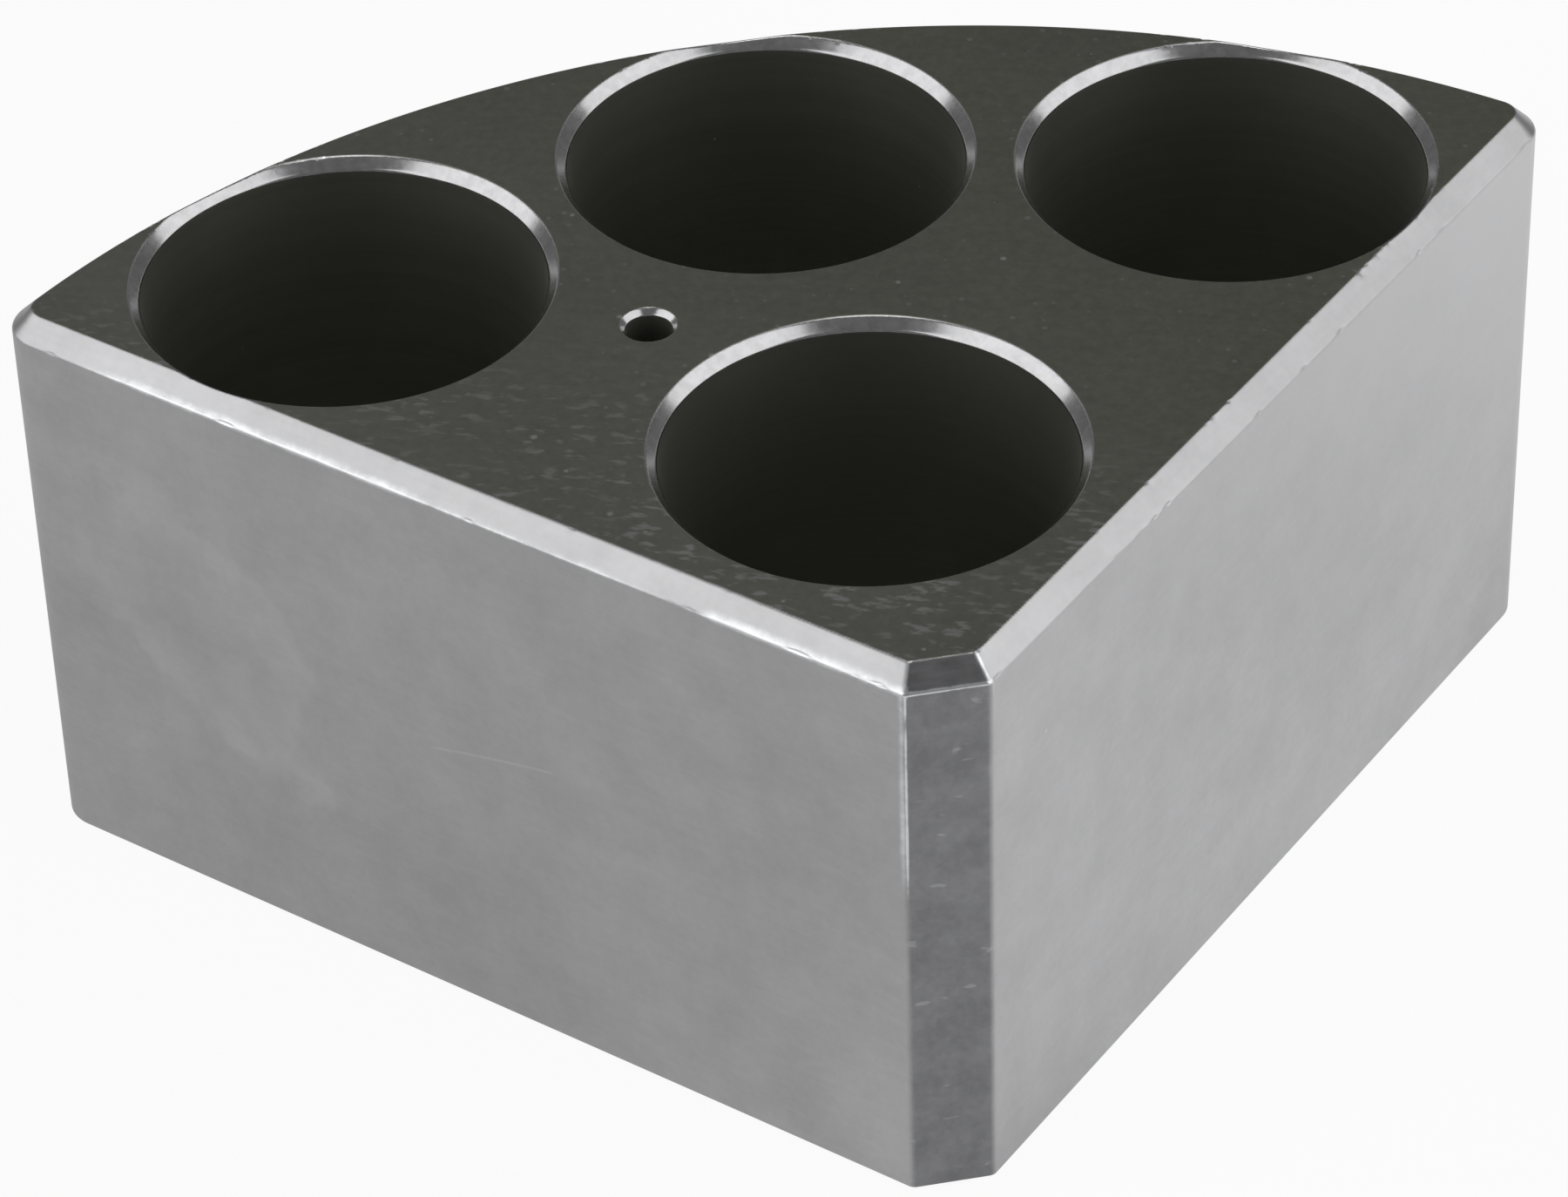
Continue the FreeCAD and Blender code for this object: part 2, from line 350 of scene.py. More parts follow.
def top_sheet(plan, mesh, outer, mouths, border):
    """The top between the outer ring and the holes' rings: height less Plan.depth over points laid out in rows.

    Rows follow the outline, circle each mouth and run along each ridge, closest together where an edge is worn round,
    and a coarse net fills the flat. Constrained triangles join them."""
    sizes, blend = plan.sizes, plan.sizes.edge_blend
    steps = np.array([-1.0, -0.66, -0.33, 0, 0.33, 0.66, 1.0])
    insets = np.concatenate([[1.15e-3], sizes.top_chamfer + steps * blend, [2.1e-3, 2.9e-3]])
    rows = [(plan.start + s * plan.inwards, np.full(plan.count, s)) for s in insets]
    for centre, radius, rim, soft in plan.holes():
        wide = radius > WIDE_HOLE
        turn = np.linspace(0, 2 * pi, WELL_TURNS if wide else PROBE_TURNS, endpoint=False)
        beyond = [6e-4, 1.6e-3] if wide else [2e-4, 6e-4]
        for r in radius + np.concatenate([[rim * 0.6], rim + steps * soft, rim + np.array(beyond)]):
            ring = centre + r * np.stack([np.cos(turn), np.sin(turn)], 1)
            rows.append((ring, plan.inset_of(ring)))
        if wide:
            ridge = ridge_rows(plan, centre, radius + rim, radius + rim * 0.3)
            rows.append((ridge, plan.inset_of(ridge)))
    net = np.stack(np.meshgrid(np.arange(-0.054, 0.054, 0.0025), np.arange(-0.038, 0.038, 0.0025)), 2).reshape(-1, 2)
    rows.append((net, plan.inset_of(net)))
    points, inset = (np.concatenate(part) for part in zip(*rows))
    flat_net = np.arange(len(points)) >= len(points) - len(net)
    clear = inset > border + np.where(flat_net, 2.5e-3, 1e-4)
    for centre, radius, rim, _ in plan.holes():
        away = np.linalg.norm(points - centre, axis=1)
        clear &= away > radius + rim * 0.3 + np.where(flat_net, 1.8e-3, rim * 0.08)
    points, inset = points[clear], inset[clear]
    cell = np.unique(np.round(points / 3.5e-5).astype(np.int64), axis=0, return_index=True)[1]
    points, inset = points[np.sort(cell)], inset[np.sort(cell)]
    height = plan.height - plan.depth(points, inset) - plan_nicks(plan, points, sizes.nick_seed)
    inner = mesh.add(np.column_stack([points, height]))
    numbers = np.concatenate([outer, *mouths, inner])
    every = np.concatenate(mesh.points)[numbers]
    loops, begin = [], 0
    for ring in (outer, *mouths):
        turn = begin + np.arange(len(ring))
        loops.append(np.stack([turn, np.roll(turn, -1)], 1))
        begin += len(ring)
    cut = geometry.delaunay_2d_cdt((every[:, :2] * 1000).tolist(), np.concatenate(loops).tolist(), [], 1, 1e-7)
    faces = np.array(cut[2])
    origin = np.fromiter((first[0] for first in cut[3]), int)
    faces = numbers[origin[faces]]
    middle = np.concatenate(mesh.points)[faces].mean(1)
    corner = np.concatenate(mesh.points)[faces][:, :, :2]
    area = np.cross(corner[:, 1] - corner[:, 0], corner[:, 2] - corner[:, 0])
    faces[area < 0] = faces[area < 0][:, ::-1]
    inside = plan.inset_of(middle[:, :2]) > border - 1e-5
    finish = np.full(len(faces), TOP)
    near = plan.inset_of(middle[:, :2])
    chamfered = plan.height - middle[:, 2] > blend / 4
    finish[chamfered] = SIDE
    for mouth, (centre, radius, rim, soft) in zip(mouths, plan.holes()):
        away = np.linalg.norm(middle[:, :2] - centre, axis=1)
        inside &= (away > radius) & ~np.isin(faces, mouth).all(1)
        on_rim = radius + rim - away > np.maximum(sizes.top_chamfer - near, soft / 2)
        finish[on_rim] = RIM
    mesh.triangles.append((faces[inside], finish[inside]))


def hole_sheet(plan, mesh, mount, rim, blend, fillet, drill, around):
    """One hole: the profile r(z) carried round its axis, from the middle of its rim cone down to its floor.

    The wall is the hole's radius. Above, the rim cone adds z less its lower edge, blended. Below, a flat floor is
    joined by a quarter circle, or a drilled hole ends in a cone of 118 degrees. Returns the ring at its mouth."""
    radius, length = mount["dims"]["r_mm"] / 1000, mount["dims"]["length_mm"] / 1000
    centre, middle = np.array(mount["pos_m"][:2]), mount["pos_m"][2]
    low, high = middle - length / 2, middle + length / 2
    if drill:
        tip = low - radius / tan(DRILL_HALF)
        profile = [(radius * 0.5, (low + tip) / 2), (radius, low)]
    else:
        tip = low
        profile = [(radius * share, low) for share in (0.25, 0.5, 0.75)]
        profile += [(radius - fillet * (1 - np.sin(t)), low + fillet * (1 - np.cos(t))) for t in np.linspace(0, pi / 2, 5)]
    wall = np.linspace(low + fillet, high - blend, 14)[1:]
    cone = high + np.concatenate([np.array([-0.66, -0.33, 0, 0.33, 0.66, 1]) * blend, [rim * 0.3]])
    levels = np.concatenate([wall, cone])
    profile += list(zip(radius + larger(0.0, levels - high, blend), levels))
    r, z = np.array(profile).T
    turn = np.linspace(0, -2 * pi, around, endpoint=False)
    ring = np.stack([np.cos(turn), np.sin(turn)], 1)
    points = np.concatenate([centre + r[:, None, None] * ring, np.broadcast_to(z[:, None, None], (len(r), around, 1))], 2)
    numbers = mesh.add(points.reshape(-1, 3)).reshape(len(r), around)
    bottom = mesh.add([[*centre, tip]])[0]
    on_rim = (z[:-1] > high - blend)[:, None]
    mesh.band(numbers, np.where(on_rim, RIM, BORE) + np.zeros((len(r) - 1, around), int))
    mesh.fan(numbers[0][::-1], bottom, BORE)
    return numbers[-1]


def block_mesh(sizes):
    """The whole block as one closed mesh: the wall carried round the outline, the holes, the top and the underside.

    The wall's profile gives the inset at each height: nothing on the upright face, the height above the chamfer's
    lower edge on the chamfer, and the height left to the base break below, each blended."""
    plan, mesh = Plan(sizes), Mesh()
    blend, height = sizes.edge_blend, plan.height
    foot, edge = sizes.base_break, height - sizes.top_chamfer
    border = 0.6 * sizes.top_chamfer
    steps = np.array([-1.0, -0.66, -0.33, 0, 0.33, 0.66, 1.0]) * blend
    levels = np.concatenate([[0.0, foot * 0.5], foot + steps[::2] / 2, np.linspace(foot, edge - 1e-3, 28)[1:],
                             edge - np.array([7e-4, 4.5e-4, 2.5e-4]), edge + steps,
                             edge + np.array([2.5e-4, 4.5e-4, 6.5e-4]), [edge + border]])
    inset = WITHIN + larger(0.0, levels - edge, blend) + larger(0.0, foot - levels, blend / 2)
    nicks = upright_nicks(plan, plan.along[None], levels[:, None], sizes.nick_seed)
    inset = inset[:, None] + nicks * (levels[:, None] < edge + border * 0.9)
    flat = plan.start + inset[:, :, None] * plan.inwards
    points = np.concatenate([flat, np.broadcast_to(levels[:, None, None], (*inset.shape, 1))], 2)
    rings = mesh.add(points.reshape(-1, 3)).reshape(inset.shape)
    mesh.band(rings, SIDE)
    mouths = []
    for mount in WELLS:
        mouths.append(hole_sheet(plan, mesh, mount, sizes.rim_chamfer, blend, sizes.floor_fillet, False, WELL_TURNS))
    mouths.append(hole_sheet(plan, mesh, PROBE, sizes.probe_rim, blend / 2, 0.0, True, PROBE_TURNS))
    top_sheet(plan, mesh, rings[-1], mouths, border)
    under = mesh.add([[0.0, -0.004, 0.0]])[0]
    mesh.fan(rings[0][::-1], under, BASE)
    return plan, mesh.build("vial_block_body")


def stretch_of(run, low, high, soft=0.002):
    """1 between low and high, falling in a straight line to 0 over soft beyond them."""
    return np.clip((run - low) / soft + 1, 0, 1) * np.clip((high - run) / soft + 1, 0, 1)


def wear_and_highlight_of(plan, points):
    """How worn and highlit each vertex is, 0 to 1: strength * exp(-(distance / width)^2) from each edge, the largest of
    them.

    Partly real wear and partly painted highlight, whose strength along each edge sets how bright a line the edge shows.
    The left chamfer's lower edge is worn at both ends, the nose's edges in their upper halves, and the rest lightly."""
    sizes = plan.sizes
    p, z = points[:, :2] - plan.centre, points[:, 2]
    inset = plan.inset_of(points[:, :2])
    edge = plan.height - sizes.top_chamfer
    right, left, nose = -p @ RIGHT_OUT, -p @ LEFT_OUT, p[:, 1] - plan.reach
    run = p @ LEFT_RUN
    at_left, at_nose = left < np.minimum(right, nose) + 2e-4, nose < np.minimum(left, right) + 2e-4
    ends = np.maximum(stretch_of(run, 0.044, 0.066, 0.008), stretch_of(run, 0.003, 0.0185, 0.003))
    lower = np.where(at_left, np.maximum(0.3 + 0.36 * stretch_of(run, 0.026, 0.05, 0.004), ends), 0.12)
    lower = np.where(at_nose, 1.0, lower)
    worn = lower * np.exp(-((z - edge) / 1.6e-4) ** 2)
    bow = np.where(z > edge, 5.5e-4, 3.5e-4)
    worn = np.maximum(worn, lower * 0.68 * at_left * np.exp(-((z - edge) / bow) ** 2))
    upper = np.where(at_left, 0.42 + 0.3 * stretch_of(run, 0.003, 0.034, 0.006), np.where(at_nose, 0.5, 0.2))
    worn = np.maximum(worn, upper * np.exp(-(np.hypot(z - plan.height, inset - sizes.top_chamfer) / 1.5e-4) ** 2))
    on_chamfer = (z > edge - 1e-4) & (inset < sizes.top_chamfer + 1e-4)
    mitre = np.minimum(np.abs(nose - left), np.abs(nose - right))
    worn = np.maximum(worn, 0.7 * np.exp(-(mitre / 1.3e-4) ** 2) * on_chamfer * (p[:, 1] < 0.012))
    # each upright edge of the nose: a bright line on its crest and a wider band beside it, painted highlight on the
    # worn edge
    for side, line, band, low in ((-1, 1.0, 0.66, 0.022), (1, 0.2, 0.42, 0.034)):
        hub = np.array([side * (plan.reach - (sqrt(2) - 1) * sizes.nose_round), plan.reach + sizes.nose_round])
        rise = np.clip((z - low) / 0.008, 0, 1) * (inset < 3e-4)
        crest = hub + np.array([side * 0.34, -0.94]) * sizes.nose_round
        bow = hub + np.array([side * 0.7, -0.7]) * sizes.nose_round
        worn = np.maximum(worn, line * rise * np.exp(-(np.linalg.norm(p - crest, axis=1) / 1.2e-4) ** 2))
        worn = np.maximum(worn, band * rise * np.exp(-(np.linalg.norm(p - bow, axis=1) / 3.6e-4) ** 2))
    worn = np.maximum(worn, np.exp(-(np.hypot(z, np.maximum(inset, 0)) / 3e-4) ** 2) * 0.5)
    return worn


def nose_share(plan, points):
    """1 on the nose flat and its chamfer, 0 on the sides, and a smooth step over each edge between them."""
    p = points[:, :2] - plan.centre
    step = np.minimum(-p @ RIGHT_OUT, -p @ LEFT_OUT) - (p[:, 1] - plan.reach)
    share = np.clip(0.5 + step / 5e-4, 0, 1)
    return share * share * (3 - 2 * share)


# ---------------------------------------------------------------- finishes

def add(tree, kind, inputs=(), **settings):
    """Adds a shader node. inputs maps a socket's name or number to a value or to another node's output."""
    node = tree.nodes.new("ShaderNode" + kind)
    for key, value in settings.items():
        setattr(node, key, value)
    for key, value in dict(inputs).items():
        if isinstance(value, bpy.types.NodeSocket):
            tree.links.new(value, node.inputs[key])
        else:
            node.inputs[key].default_value = value
    return node


def maths(tree, operation, *values):
    """One Math node's result."""
    return add(tree, "Math", enumerate(values), operation=operation).outputs[0]


def ramp(tree, value, low, high, to_low=0.0, to_high=1.0, smooth=True):
    """value between low and high, carried to between to_low and to_high."""
    return add(tree, "MapRange", {"Value": value, "From Min": low, "From Max": high, "To Min": to_low, "To Max": to_high},
               interpolation_type="SMOOTHSTEP" if smooth else "LINEAR").outputs["Result"]


def noise(tree, place, scale, detail=2.0, roughness=0.5, stretch=None, turn=None):
    """Noise on the block's own coordinates, turned about the vertical and then stretched along its axes."""
    if turn is not None:
        place = add(tree, "Mapping", {"Vector": place, "Rotation": (0, 0, turn)}).outputs[0]
    if stretch is not None:
        place = add(tree, "Mapping", {"Vector": place, "Scale": stretch}).outputs[0]
    return add(tree, "TexNoise", {"Vector": place, "Scale": scale, "Detail": detail, "Roughness": roughness}).outputs["Fac"]


def specks(tree, place, scale, size, share, dimensions="2D"):
    """Small round spots: one in each Voronoi cell whose own random number is over share, size cells across."""
    cells = add(tree, "TexVoronoi", {"Vector": place, "Scale": scale}, voronoi_dimensions=dimensions)
    own = add(tree, "SeparateXYZ", {0: cells.outputs["Color"]}).outputs
    reach = maths(tree, "MULTIPLY", own[1], size)
    spot = ramp(tree, maths(tree, "SUBTRACT", reach, cells.outputs["Distance"]), -0.3 * size, 0.3 * size)
    return maths(tree, "MULTIPLY", spot, ramp(tree, own[0], share, share + 0.02))


def blend_colour(tree, share, first, second):
    """Mix of two colours."""
    node = add(tree, "Mix", data_type="RGBA")
    for socket, value in ((node.inputs["Factor"], share), (node.inputs[6], first), (node.inputs[7], second)):
        if isinstance(value, bpy.types.NodeSocket):
            tree.links.new(value, socket)
        else:
            socket.default_value = value
    return node.outputs[2]


def shade(colour, factor):
    """A colour made lighter or darker, as four numbers."""
    return (*(min(1.0, part * factor) for part in colour), 1.0)


def clouded(tree, tone, colour, dark, light):
    """The colour from dark to light times itself, as tone goes from a little under to a little over its middle."""
    return blend_colour(tree, ramp(tree, tone, 0.36, 0.64, smooth=False), shade(colour, dark), shade(colour, light))


def new_finish(name):
    """An empty metal material: its tree, its shader and the piece's own coordinates."""
    material = bpy.data.materials.new(name)
    material.use_nodes = True
    tree = material.node_tree
    tree.nodes.clear()
    shader = add(tree, "BsdfPrincipled", {"Metallic": 1.0})
    add(tree, "OutputMaterial", {"Surface": shader.outputs[0]})
    place = add(tree, "TexCoord").outputs["Object"]
    return material, tree, shader, place


def finish_metal(tree, shader, place, finish, colour, rough, bump_height, wears=True):
    """Joins a finish: its colour, bare metal where the edges are worn and painted highlight along them, its roughness
    and a fine bump.
    """
    if wears:
        # real wear and painted highlight along the edges, both lightening towards bare metal
        wear_and_highlight = add(tree, "Attribute", attribute_name="wear_and_highlight").outputs["Fac"]
        chips = maths(tree, "ADD", noise(tree, place, 1100.0, 3.0, 0.6), noise(tree, place, 260.0, 2.0))
        bare = ramp(tree, maths(tree, "MULTIPLY", wear_and_highlight, chips), 0.3, 0.95)
        colour = blend_colour(tree, bare, colour, (*finish.bare_colour, 1.0))
        rough = maths(tree, "SUBTRACT", rough, maths(tree, "MULTIPLY", bare, 0.06))
    tree.links.new(colour, shader.inputs["Base Color"])
    tree.links.new(rough, shader.inputs["Roughness"])
    bump = add(tree, "Bump", {"Strength": 0.35, "Distance": 4e-6, "Height": bump_height})
    tree.links.new(bump.outputs[0], shader.inputs["Normal"])


def side_finish(finish):
    """Milled sides and chamfers: faint upright marks, clouds, a soft broken smear, pale dots and one bowed scratch.

    The right side grows paler upwards and towards its far end as painted light, and the nose is darker as painted
    shade, with pale ticks."""
    material, tree, shader, place = new_finish("milled_sides")
    split = add(tree, "SeparateXYZ", {0: place})
    x, y, z = split.outputs
    run = maths(tree, "MULTIPLY", maths(tree, "SUBTRACT", y, x), HALF)      # distance along the left side, from the middle
    grain = noise(tree, place, 1500.0, 3.0, 0.6)
    lines = noise(tree, place, 160.0, 3.0, 0.6, stretch=(1, 1, 22))
    mottle = noise(tree, place, 240.0, 4.0, 0.55)
    cloud = noise(tree, place, 38.0, 5.0, 0.55)
    tone = maths(tree, "ADD", maths(tree, "MULTIPLY", grain, 0.16), maths(tree, "MULTIPLY", lines, 0.12))
    tone = maths(tree, "ADD", tone, maths(tree, "MULTIPLY", mottle, 0.27))
    tone = maths(tree, "ADD", tone, maths(tree, "MULTIPLY", cloud, 0.45))
    base = clouded(tree, tone, finish.side_colour, 0.88, 1.12)
    # the smear: a slanting ellipse on the left side, palest along its outline, which noise breaks
    on_left = ramp(tree, maths(tree, "ADD", x, y), -ON_SIDE[0], -ON_SIDE[1])
    off_run, off_z = maths(tree, "SUBTRACT", run, 0.0339), maths(tree, "SUBTRACT", z, 0.0240)
    lengthways = maths(tree, "DIVIDE", maths(tree, "ADD", off_run, off_z), 0.0185)
    sideways = maths(tree, "DIVIDE", maths(tree, "SUBTRACT", off_run, off_z), 0.0105)
    round_it = maths(tree, "ADD", maths(tree, "POWER", lengthways, 2.0), maths(tree, "POWER", sideways, 2.0))
    ragged = maths(tree, "ADD", round_it, maths(tree, "MULTIPLY", noise(tree, place, 110.0, 5.0, 0.65), 2.6))
    smear = maths(tree, "MULTIPLY", ramp(tree, ragged, 2.5, 2.05), ramp(tree, ragged, 1.3, 2.1, 0.14, 0.32))
    smear = maths(tree, "MULTIPLY", smear, ramp(tree, mottle, 0.3, 0.6, 0.5, 1.0))
    smear = maths(tree, "MULTIPLY", smear, on_left)
    base = blend_colour(tree, smear, base, shade(finish.side_colour, 1.3))
    dots = maths(tree, "MULTIPLY", specks(tree, place, 110.0, 0.03, 0.6, "3D"), 0.45)
    base = blend_colour(tree, dots, base, shade(finish.bare_colour, 1.0))
    # the right side: a little paler towards the top and its far end, as painted light
    far = maths(tree, "ADD", z, maths(tree, "MULTIPLY", maths(tree, "ADD", x, y), 0.35))
    on_right = ramp(tree, maths(tree, "SUBTRACT", x, y), *ON_SIDE)
    pale = maths(tree, "MULTIPLY", ramp(tree, far, 0.018, 0.078), on_right)
    pale = maths(tree, "MULTIPLY", pale, ramp(tree, z, 0.0432, 0.0428))
    base = blend_colour(tree, pale, base, shade(finish.side_colour, 1.3))
    # the scratch: a shallow bow, a tenth of a millimetre wide
    share = maths(tree, "DIVIDE", maths(tree, "SUBTRACT", run, 0.0032), 0.0110)
    bow = maths(tree, "MULTIPLY", maths(tree, "POWER", share, 2.0), -0.0006)
    bow = maths(tree, "ADD", maths(tree, "MULTIPLY", share, -0.0018), bow)
    off = maths(tree, "ABSOLUTE", maths(tree, "SUBTRACT", maths(tree, "SUBTRACT", z, 0.0241), bow))
    within = maths(tree, "MULTIPLY", ramp(tree, share, -0.02, 0.1), ramp(tree, share, 1.02, 0.9))
    scratch = maths(tree, "MULTIPLY", maths(tree, "MULTIPLY", ramp(tree, off, 0.00016, 0.00002, 0.0, 0.2), within), on_left)
    base = blend_colour(tree, scratch, base, shade(finish.side_colour, 1.7))
    # the nose: darker than the sides as painted shade, and mottled, with a few pale ticks across it
    mottle = maths(tree, "MULTIPLY", noise(tree, place, 380.0, 4.0, 0.6), 0.6)
    mottle = maths(tree, "ADD", mottle, maths(tree, "MULTIPLY", grain, 0.4))
    dark = clouded(tree, mottle, finish.nose_shaded_colour, 0.86, 1.14)
    ticks = noise(tree, place, 520.0, 1.0, stretch=(1.0, 1.0, 2.6))
    dark = blend_colour(tree, ramp(tree, ticks, 0.72, 0.78, 0.0, 0.28), dark, shade(finish.nose_shaded_colour, 2.4))
    streaks = ramp(tree, noise(tree, place, 1200.0, 3.0, 0.6, stretch=(0.3, 1.0, 1.0)), 0.35, 0.7, 0.0, 0.6)
    above = ramp(tree, z, 0.0429, 0.0432)
    dark = blend_colour(tree, maths(tree, "MULTIPLY", streaks, above), dark, shade(finish.nose_shaded_colour, 1.45))
    # the nose's chamfer darker still, a quarter towards black, as painted shade
    dark = blend_colour(tree, maths(tree, "MULTIPLY", above, 0.25), dark, (0.0, 0.0, 0.0, 1.0))
    base = blend_colour(tree, add(tree, "Attribute", attribute_name="nose").outputs["Fac"], base, dark)
    rough = maths(tree, "ADD", finish.gloss_spread - 0.05, maths(tree, "MULTIPLY", cloud, 0.1))
    finish_metal(tree, shader, place, finish, base, rough, maths(tree, "ADD", grain, lines))
    return material


def top_finish(finish):
    """Face-milled top: fine grain, a faint sweep of the cutter, pale specks, and short scuffs towards the nose and left."""
    material, tree, shader, place = new_finish("milled_top")
    grain = noise(tree, place, 1400.0, 4.0, 0.7)
    cloud = noise(tree, place, 50.0, 4.0)
    sweep = noise(tree, place, 90.0, 3.0, 0.6, stretch=(1.0, 14.0, 1.0), turn=radians(18))
    tone = maths(tree, "ADD", maths(tree, "MULTIPLY", grain, 0.5), maths(tree, "MULTIPLY", cloud, 0.36))
    tone = maths(tree, "ADD", tone, maths(tree, "MULTIPLY", sweep, 0.14))
    # the top's colour: partly its own, partly painted shade
    base = clouded(tree, tone, finish.top_colour, 0.86, 1.14)
    split = add(tree, "SeparateXYZ", {0: place}).outputs
    lean = maths(tree, "ADD", split[1], maths(tree, "MULTIPLY", split[0], 0.5))
    patch = noise(tree, place, 130.0, 2.0)
    rubbed = maths(tree, "MULTIPLY", ramp(tree, lean, -0.002, -0.024), ramp(tree, patch, 0.3, 0.6, 0.25, 1.0))
    scuffs = noise(tree, place, 1700.0, 2.0, 0.5, stretch=(0.42, 1.0, 1.0), turn=radians(20))
    scuffs = maths(tree, "MULTIPLY", ramp(tree, scuffs, 0.54, 0.68), rubbed)
    small = maths(tree, "MULTIPLY", specks(tree, place, 620.0, 0.13, 0.5), ramp(tree, patch, 0.4, 0.6, 0.15, 1.0))
    large = specks(tree, place, 150.0, 0.04, 0.72)
    for dot_x, dot_y, size in ((-17.9, -16.8, 0.32), (-16.0, -19.2, 0.2), (-1.0, -35.1, 0.22),
                               (-8.7, -28.3, 0.2), (-19.9, -11.6, 0.24), (-8.2, -1.2, 0.34)):
        off = add(tree, "VectorMath", {0: place, 1: (dot_x / 1000, dot_y / 1000, 0.0445)}, operation="DISTANCE").outputs["Value"]
        large = maths(tree, "MAXIMUM", large, ramp(tree, off, size / 1000, size / 3500))
    # the whole top a little paler towards its front left corner
    front_left_paling = ramp(tree, maths(tree, "ADD", split[0], maths(tree, "MULTIPLY", split[1], 0.6)), 0.03, -0.05, 0.02, 0.11)
    marks = maths(tree, "MAXIMUM", maths(tree, "MULTIPLY", small, 0.2), maths(tree, "MULTIPLY", large, 0.5))
    marks = maths(tree, "MAXIMUM", marks, maths(tree, "MULTIPLY", scuffs, 0.4))
    marks = maths(tree, "ADD", marks, front_left_paling)
    base = blend_colour(tree, marks, base, shade(finish.bare_colour, 1.0))
    rough = maths(tree, "ADD", finish.gloss_spread - 0.04, maths(tree, "MULTIPLY", grain, 0.08))
    finish_metal(tree, shader, place, finish, base, rough, maths(tree, "ADD", grain, maths(tree, "MULTIPLY", marks, 4.0)))
    return material


def rim_finish(finish):
    """Turned rims: glossier and brighter than the top, with a fine grain."""
    material, tree, shader, place = new_finish("turned_rims")
    grain = noise(tree, place, 1300.0, 3.0, 0.6)
    base = blend_colour(tree, ramp(tree, grain, 0.35, 0.65, smooth=False),
                        shade(finish.side_colour, 0.95), shade(finish.side_colour, 1.12))
    rough = maths(tree, "ADD", finish.gloss_spread - 0.2, maths(tree, "MULTIPLY", grain, 0.08))
    finish_metal(tree, shader, place, finish, base, rough, grain, wears=False)
    return material


def bore_finish(finish):
    """Bored wells, their colour darker than the sides as painted shade: rings left by the cutter up the wall, and a few
    specks of dust.
    """
    material, tree, shader, place = new_finish("bored_wells")
    rings = noise(tree, place, 40.0, 3.0, 0.6, stretch=(0.2, 0.2, 60.0))
    cloud = noise(tree, place, 90.0, 3.0)
    tone = maths(tree, "ADD", maths(tree, "MULTIPLY", rings, 0.5), maths(tree, "MULTIPLY", cloud, 0.5))
    base = clouded(tree, tone, finish.shaded_bore_colour, 0.93, 1.07)
    dust = specks(tree, place, 300.0, 0.05, 0.55, "3D")
    base = blend_colour(tree, maths(tree, "MULTIPLY", dust, 0.5), base, shade(finish.bare_colour, 1.0))
    rough = maths(tree, "ADD", finish.gloss_spread + 0.12, maths(tree, "MULTIPLY", rings, 0.04))
    finish_metal(tree, shader, place, finish, base, rough, rings, wears=False)
    return material


def base_finish(finish):
    """The underside: rubbed by the hotplate in straight and slightly cloudy marks."""
    material, tree, shader, place = new_finish("rubbed_base")
    lines = noise(tree, place, 120.0, 4.0, 0.6, stretch=(1.0, 16.0, 1.0))
    cloud = noise(tree, place, 45.0, 4.0)
    tone = maths(tree, "ADD", maths(tree, "MULTIPLY", lines, 0.6), maths(tree, "MULTIPLY", cloud, 0.4))
    base = clouded(tree, tone, finish.side_colour, 0.82, 1.05)
    rough = maths(tree, "ADD", finish.gloss_spread, maths(tree, "MULTIPLY", cloud, 0.12))
    finish_metal(tree, shader, place, finish, base, rough, lines)
    return material


# ---------------------------------------------------------------- operators

class MESH_OT_vial_block(bpy.types.Operator):
    """Build the vial block from its sizes and give each machined face its finish"""

    bl_idname = "mesh.vial_block"
    bl_label = "Vial block"
    bl_options = {"REGISTER", "UNDO"}

    def execute(self, context):
        scene = context.scene
        plan, mesh = block_mesh(scene.vial_block_sizes)
        points = np.empty(len(mesh.vertices) * 3, np.float32)
        mesh.vertices.foreach_get("co", points)
        points = points.reshape(-1, 3).astype(float)
        for name, value in (("wear_and_highlight", wear_and_highlight_of(plan, points)), ("nose", nose_share(plan, points))):
            mesh.attributes.new(name, "FLOAT", "POINT").data.foreach_set("value", value.astype(np.float32))
        finish = scene.vial_block_finish
        for make in (side_finish, top_finish, rim_finish, bore_finish, base_finish):
            mesh.materials.append(make(finish))
        block = bpy.data.objects.new("vial_block_body", mesh)
        scene.collection.objects.link(block)
        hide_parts("vial_block")
        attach(block, "root")
        return {"FINISHED"}


def floor_mesh():
    """The floor: a flat round sheet, rings of r (cos t, sin t) in the plane z = 0."""
    r = np.array([0.02, 0.1, 0.3, 0.7, 1.2, 1.7, 2.2])
    turn = np.linspace(0, 2 * pi, 96, endpoint=False)
    ring = np.stack([np.cos(turn), np.sin(turn), np.zeros(96)], 1)
    mesh = Mesh()
    numbers = mesh.add((r[:, None, None] * ring).reshape(-1, 3)).reshape(len(r), 96)
    middle = mesh.add([[0.0, 0.0, 0.0]])[0]
    mesh.band(numbers[:, ::-1], 0)
    mesh.fan(numbers[0], middle, 0)
    return mesh.build("floor")


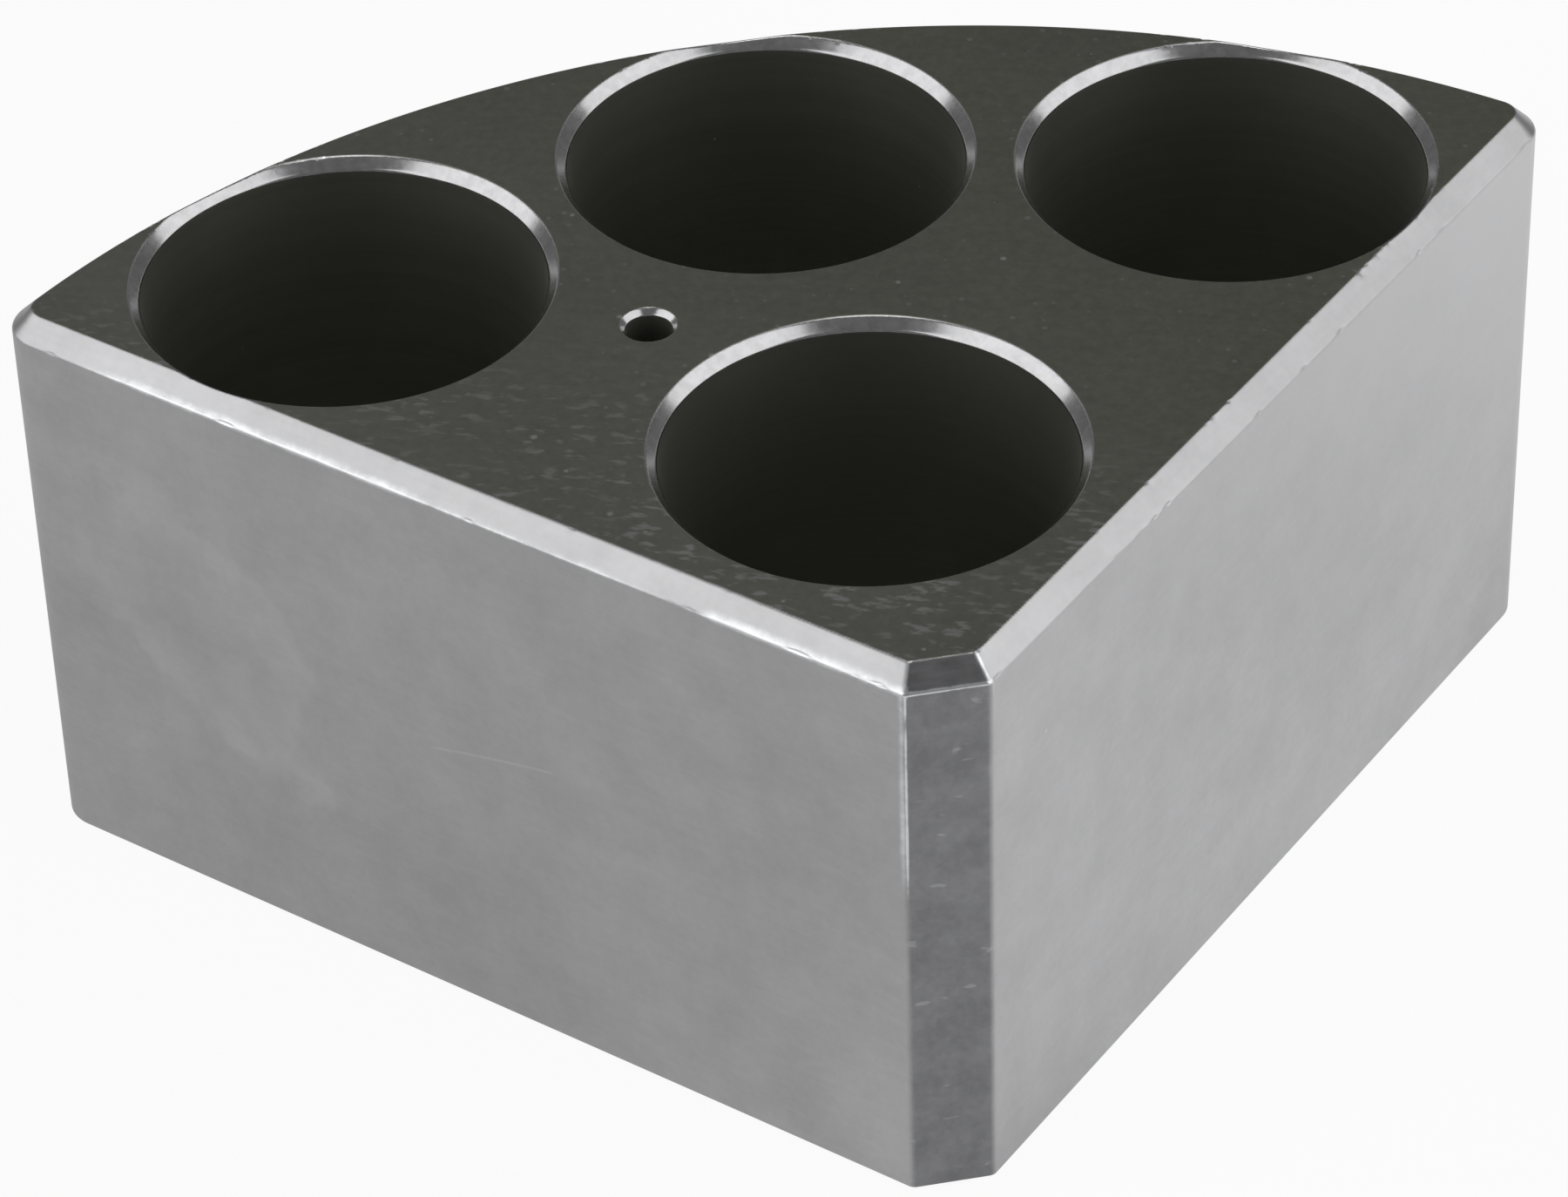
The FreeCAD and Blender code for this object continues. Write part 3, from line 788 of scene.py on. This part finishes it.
def floor_finish(settings):
    """Pale matt paper. Seen directly or mirrored, part of it is an even white, so the rest still shows the shadow.

    The white that is mirrored grows from left to right of the block and fades out away from it, as painted light, and
    the paper is darker left of the block, as painted shade."""
    material = bpy.data.materials.new("pale_paper")
    material.use_nodes = True
    tree = material.node_tree
    tree.nodes.clear()
    place = add(tree, "TexCoord").outputs["Object"]
    across = add(tree, "SeparateXYZ", {0: place}).outputs[0]
    rightward = ramp(tree, across, -0.035, 0.035)
    # the paper darker left of the block, as painted shade
    paper = add(tree, "BsdfDiffuse", {0: blend_colour(tree, rightward, shade(settings.floor_colour, settings.left_shade),
                                                      shade(settings.floor_colour, 1.0))})
    white = add(tree, "Emission", {"Color": (1, 1, 1, 1), "Strength": 1.0})
    rays = add(tree, "LightPath").outputs
    away = add(tree, "VectorMath", {0: place}, operation="LENGTH").outputs["Value"]
    # more white mirrored right of the block than left, as painted light
    share = ramp(tree, rightward, 0.0, 1.0, settings.mirror_left, settings.mirror_right, smooth=False)
    share = maths(tree, "MULTIPLY", share, ramp(tree, away, 0.9, 0.4))
    mirrored = maths(tree, "MULTIPLY", maths(tree, "MAXIMUM", rays["Is Glossy Ray"], rays["Is Transmission Ray"]), share)
    seen = maths(tree, "MAXIMUM", maths(tree, "MULTIPLY", rays["Is Camera Ray"], WHITE_SEEN), mirrored)
    mix = add(tree, "MixShader", {0: seen, 1: paper.outputs[0], 2: white.outputs[0]})
    add(tree, "OutputMaterial", {"Surface": mix.outputs[0]})
    return material


def add_softbox(scene, name, toward, distance, width, height, brightness):
    """A rectangular lamp that stands in direction toward from the block and faces it, as bright as that all over."""
    lamp = bpy.data.lights.new(name, "AREA")
    lamp.shape, lamp.size, lamp.size_y, lamp.energy = "RECTANGLE", width, height, brightness * pi * width * height
    toward = np.array(toward, float) / np.linalg.norm(toward)
    across = np.cross([0, 0, 1], toward) if abs(toward[2]) < 0.99 else np.array([1.0, 0, 0])
    across = across / np.linalg.norm(across)
    frame_of = np.column_stack([across, np.cross(toward, across), toward])
    lit = bpy.data.objects.new(name, lamp)
    lit.matrix_world = Matrix.Translation(toward * distance + np.array([0, 0, 0.03])) @ Matrix(frame_of.tolist()).to_4x4()
    scene.collection.objects.link(lit)


class SCENE_OT_vial_block_stage(bpy.types.Operator):
    """Set up the pale floor, the softboxes, the dim room and the camera"""

    bl_idname = "scene.vial_block_stage"
    bl_label = "Studio stage"
    bl_options = {"REGISTER", "UNDO"}

    def execute(self, context):
        scene, settings = context.scene, context.scene.vial_block_stage
        mesh = floor_mesh()
        mesh.materials.append(floor_finish(settings))
        floor = bpy.data.objects.new("floor", mesh)
        scene.collection.objects.link(floor)
        world = bpy.data.worlds.new("dim_room")
        world.use_nodes = True
        world.node_tree.nodes["Background"].inputs["Color"].default_value = (1, 1, 1, 1)
        world.node_tree.nodes["Background"].inputs["Strength"].default_value = settings.surround
        scene.world = world
        add_softbox(scene, "softbox_left", (-0.865, -0.05, 0.5), 1.2, 1.9, 1.1, settings.left_lamp)
        add_softbox(scene, "softbox_right", (0.8, -0.31, 0.52), 1.2, 1.6, 1.3, settings.right_lamp)
        add_softbox(scene, "softbox_above", (-0.05, -0.1, 0.99), 1.3, 0.5, 0.5, settings.top_lamp)
        camera = bpy.data.cameras.new("camera")
        camera.lens, camera.sensor_width, camera.clip_start, camera.clip_end = settings.camera_lens, 36.0, 0.01, 20.0
        eye = bpy.data.objects.new("camera", camera)
        eye.location, eye.rotation_euler = settings.camera_place, settings.camera_turn
        scene.collection.objects.link(eye)
        scene.camera = eye
        scene.view_settings.view_transform = "Standard"
        return {"FINISHED"}


class VIEW3D_PT_vial_block(bpy.types.Panel):
    """Sizes, finish and stage of the vial block"""

    bl_idname = "VIEW3D_PT_vial_block"
    bl_label = "Vial Block"
    bl_space_type = "VIEW_3D"
    bl_region_type = "UI"
    bl_category = "Vial Block"

    def draw(self, context):
        for group, operator in (("vial_block_sizes", None), ("vial_block_finish", MESH_OT_vial_block),
                                ("vial_block_stage", SCENE_OT_vial_block_stage)):
            values = getattr(context.scene, group)
            column = self.layout.column(align=True)
            for key in values.bl_rna.properties.keys():
                if key not in ("rna_type", "name"):
                    column.prop(values, key)
            if operator:
                self.layout.operator(operator.bl_idname)


CLASSES = (BlockSizes, BlockFinish, StageSettings, MESH_OT_vial_block, SCENE_OT_vial_block_stage, VIEW3D_PT_vial_block)


def register():
    for item in CLASSES:
        bpy.utils.register_class(item)
    bpy.types.Scene.vial_block_sizes = PointerProperty(type=BlockSizes)
    bpy.types.Scene.vial_block_finish = PointerProperty(type=BlockFinish)
    bpy.types.Scene.vial_block_stage = PointerProperty(type=StageSettings)


def unregister():
    del bpy.types.Scene.vial_block_stage, bpy.types.Scene.vial_block_finish, bpy.types.Scene.vial_block_sizes
    for item in reversed(CLASSES):
        bpy.utils.unregister_class(item)


def main():
    register()
    bpy.ops.mesh.vial_block()
    bpy.ops.scene.vial_block_stage()


if __name__ == "__main__":
    main()
